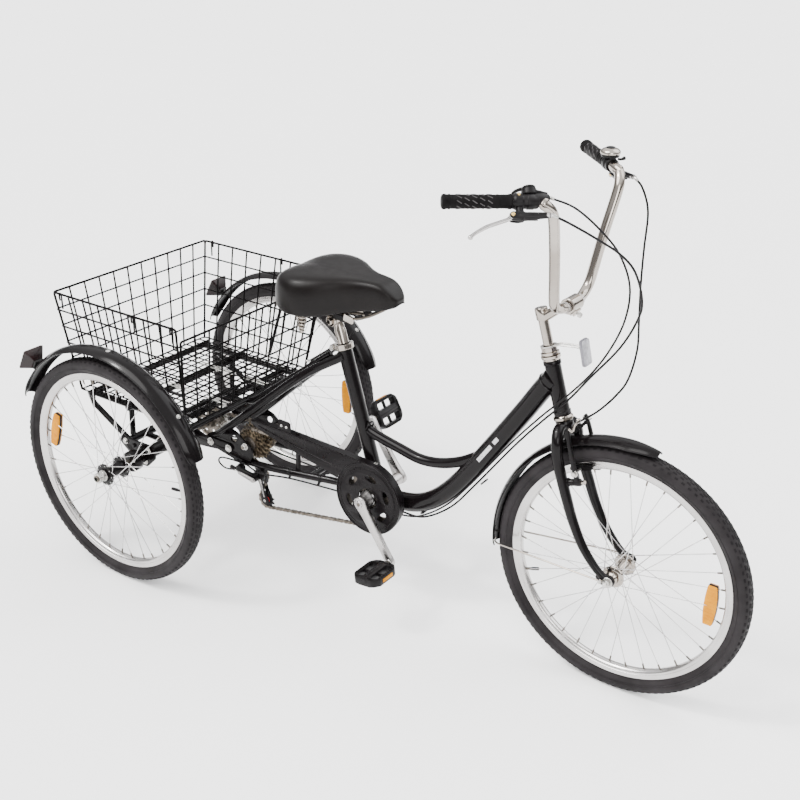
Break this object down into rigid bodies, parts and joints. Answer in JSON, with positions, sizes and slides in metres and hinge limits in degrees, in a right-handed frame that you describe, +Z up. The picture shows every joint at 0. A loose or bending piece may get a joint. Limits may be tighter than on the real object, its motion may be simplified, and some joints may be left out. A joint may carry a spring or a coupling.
{
  "type": "adult tricycle",
  "caption": "Upright tricycle with a low step-through frame, swept handlebar, rear wire basket, fenders and a driven rear axle.",
  "frame": {"origin": "on the ground under the middle of the tricycle's bounding box", "axes": "+X forwards, +Y to the rider's left, +Z up"},
  "size_m": [1.8266, 0.798, 1.1616],
  "materials": {
    "gloss_black_paint": "gloss black enamel",
    "black_wire": "black coated wire",
    "chrome": "bright plated steel",
    "alloy": "satin alloy",
    "dark_steel": "oiled dark steel",
    "tyre_rubber": "matt black tyre rubber",
    "grip_rubber": "soft black rubber",
    "black_plastic": "matt moulded plastic",
    "lamp_smoke": "dark smoked lens",
    "clear_reflector": "clear prismatic lens",
    "saddle_vinyl": "dark smooth vinyl"
  },
  "bodies": {
    "frame": {"main_frame": "gloss_black_paint", "rear_carrier": "gloss_black_paint", "basket_rack": "gloss_black_paint", "basket_floor": "black_wire", "basket_rear_panel": "black_wire", "basket_front_panel": "black_wire", "basket_left_panel": "black_wire", "basket_right_panel": "black_wire", "rear_fender_right": "gloss_black_paint", "rear_fender_left": "gloss_black_paint", "fender_lamp_right": "lamp_smoke", "fender_lamp_left": "lamp_smoke", "seat_clamp": "chrome", "headset_lower": "chrome", "headset_upper": "chrome", "chain_guard": "gloss_black_paint", "drive_chain": "dark_steel", "axle_chain": "dark_steel", "derailleur": "black_plastic", "rear_brake_cable": "grip_rubber", "shift_cable": "grip_rubber"},
    "steering": {"fork": "gloss_black_paint", "front_fender": "gloss_black_paint", "stem": "chrome", "handlebar": "chrome", "grip_left": "grip_rubber", "grip_right": "grip_rubber", "brake_bracket_left": "black_plastic", "brake_bracket_right": "black_plastic", "shifter_body": "black_plastic", "bell_body": "chrome", "front_reflector": "clear_reflector", "front_brake_cable": "grip_rubber"},
    "front_wheel": {"front_tyre": "tyre_rubber", "front_rim": "alloy", "front_hub": "chrome"},
    "drive_axle": {"rear_axle": "dark_steel", "right_hub": "gloss_black_paint", "right_rim": "alloy", "right_tyre": "tyre_rubber"},
    "left_wheel": {"left_hub": "gloss_black_paint", "left_rim": "alloy", "left_tyre": "tyre_rubber"},
    "crankset": {"crank_right": "alloy", "crank_left": "alloy", "chainring": "dark_steel"},
    "pedal_right": {"pedal_right": "black_plastic"},
    "pedal_left": {"pedal_left": "black_plastic"},
    "freewheel": {"freewheel": "dark_steel"},
    "guide_pulley": {"guide_pulley": "black_plastic"},
    "tension_pulley": {"tension_pulley": "black_plastic"},
    "brake_lever_right": {"brake_lever_right": "alloy"},
    "brake_lever_left": {"brake_lever_left": "alloy"},
    "brake_arm_right": {"brake_arm_right": "dark_steel"},
    "brake_arm_left": {"brake_arm_left": "dark_steel"},
    "shifter_lever": {"shifter_lever": "black_plastic"},
    "bell_lever": {"bell_lever": "black_plastic"},
    "seat_post": {"seat_post": "chrome"},
    "saddle": {"saddle": "saddle_vinyl", "saddle_rails": "chrome"}
  },
  "joints": [
    {"name": "steering_turn", "type": "hinge", "parent": "frame", "child": "steering", "pos_m": [0.45079, 0, 0.628], "axis": [-0.2939, 0, 0.9558], "range_deg": [-60, 60], "deforming": ["shift_cable", "rear_brake_cable"]},
    {"name": "front_wheel_spin", "type": "hinge", "parent": "steering", "child": "front_wheel", "pos_m": [0.61579, 0, 0.2975], "axis": [0, 1, 0], "continuous": true},
    {"name": "rear_axle_spin", "type": "hinge", "parent": "frame", "child": "drive_axle", "pos_m": [-0.60421, 0, 0.2975], "axis": [0, 1, 0], "continuous": true},
    {"name": "left_wheel_spin", "type": "hinge", "parent": "frame", "child": "left_wheel", "pos_m": [-0.60421, 0.341, 0.2975], "axis": [0, 1, 0], "continuous": true},
    {"name": "freewheel_spin", "type": "hinge", "parent": "frame", "child": "freewheel", "pos_m": [-0.40521, 0, 0.316], "axis": [0, 1, 0], "continuous": true},
    {"name": "crank_spin", "type": "hinge", "parent": "frame", "child": "crankset", "pos_m": [-0.02621, 0, 0.283], "axis": [0, 1, 0], "continuous": true},
    {"name": "guide_pulley_spin", "type": "hinge", "parent": "frame", "child": "guide_pulley", "pos_m": [-0.37921, -0.045, 0.233], "axis": [0, 1, 0], "continuous": true},
    {"name": "tension_pulley_spin", "type": "hinge", "parent": "frame", "child": "tension_pulley", "pos_m": [-0.36121, -0.045, 0.163], "axis": [0, 1, 0], "continuous": true},
    {"name": "pedal_right_spin", "type": "hinge", "parent": "crankset", "child": "pedal_right", "pos_m": [0.06279, -0.145, 0.15004], "axis": [0, 1, 0], "continuous": true},
    {"name": "pedal_left_spin", "type": "hinge", "parent": "crankset", "child": "pedal_left", "pos_m": [-0.11522, 0.145, 0.41596], "axis": [0, 1, 0], "continuous": true},
    {"name": "brake_lever_right_pull", "type": "hinge", "parent": "steering", "child": "brake_lever_right", "pos_m": [0.42049, -0.21245, 1.10507], "axis": [-0.5342, 0.5491, -0.6427], "range_deg": [0, 18], "stiffness_Nm_per_rad": 0.3, "springref_deg": -20.05},
    {"name": "brake_lever_left_pull", "type": "hinge", "parent": "steering", "child": "brake_lever_left", "pos_m": [0.42049, 0.21245, 1.10507], "axis": [0.5342, 0.5491, 0.6427], "range_deg": [0, 18], "stiffness_Nm_per_rad": 0.3, "springref_deg": -20.05},
    {"name": "brake_arm_right_close", "type": "hinge", "parent": "steering", "child": "brake_arm_right", "pos_m": [0.52033, -0.045, 0.5047], "axis": [-0.9558, 0, -0.2939], "range_deg": [0, 4.2]},
    {"name": "brake_arm_left_close", "type": "hinge", "parent": "steering", "child": "brake_arm_left", "pos_m": [0.52033, 0.045, 0.5047], "axis": [0.9558, 0, 0.2939], "range_deg": [0, 4.2]},
    {"name": "shifter_lever_turn", "type": "hinge", "parent": "steering", "child": "shifter_lever", "pos_m": [0.43435, -0.17311, 1.12717], "axis": [-0.4389, 0.4696, 0.766], "range_deg": [-30, 30]},
    {"name": "bell_lever_ring", "type": "hinge", "parent": "steering", "child": "bell_lever", "pos_m": [0.43947, 0.18608, 1.13962], "axis": [0, 0, 1], "range_deg": [0, 20], "stiffness_Nm_per_rad": 0.02, "springref_deg": -17.19},
    {"name": "seat_post_height", "type": "slide", "parent": "frame", "child": "seat_post", "axis": [-0.2932, 0, 0.9561], "range_m": [-0.04, 0.09]},
    {"name": "saddle_tilt", "type": "hinge", "parent": "seat_post", "child": "saddle", "pos_m": [-0.15839, 0, 0.70428], "axis": [0, 1, 0], "range_deg": [-12, 12]}
  ],
  "couplings": [
    {"joint": "freewheel_spin", "follows": "rear_axle_spin", "ratio": 1.25},
    {"joint": "crank_spin", "follows": "rear_axle_spin", "ratio": 0.625},
    {"joint": "tension_pulley_spin", "follows": "rear_axle_spin", "ratio": 2.2727},
    {"joint": "guide_pulley_spin", "follows": "rear_axle_spin", "ratio": -2.2727},
    {"joint": "brake_arm_right_close", "follows": "brake_lever_left_pull", "ratio": 0.23333},
    {"joint": "brake_arm_left_close", "follows": "brake_lever_left_pull", "ratio": 0.23333}
  ]
}
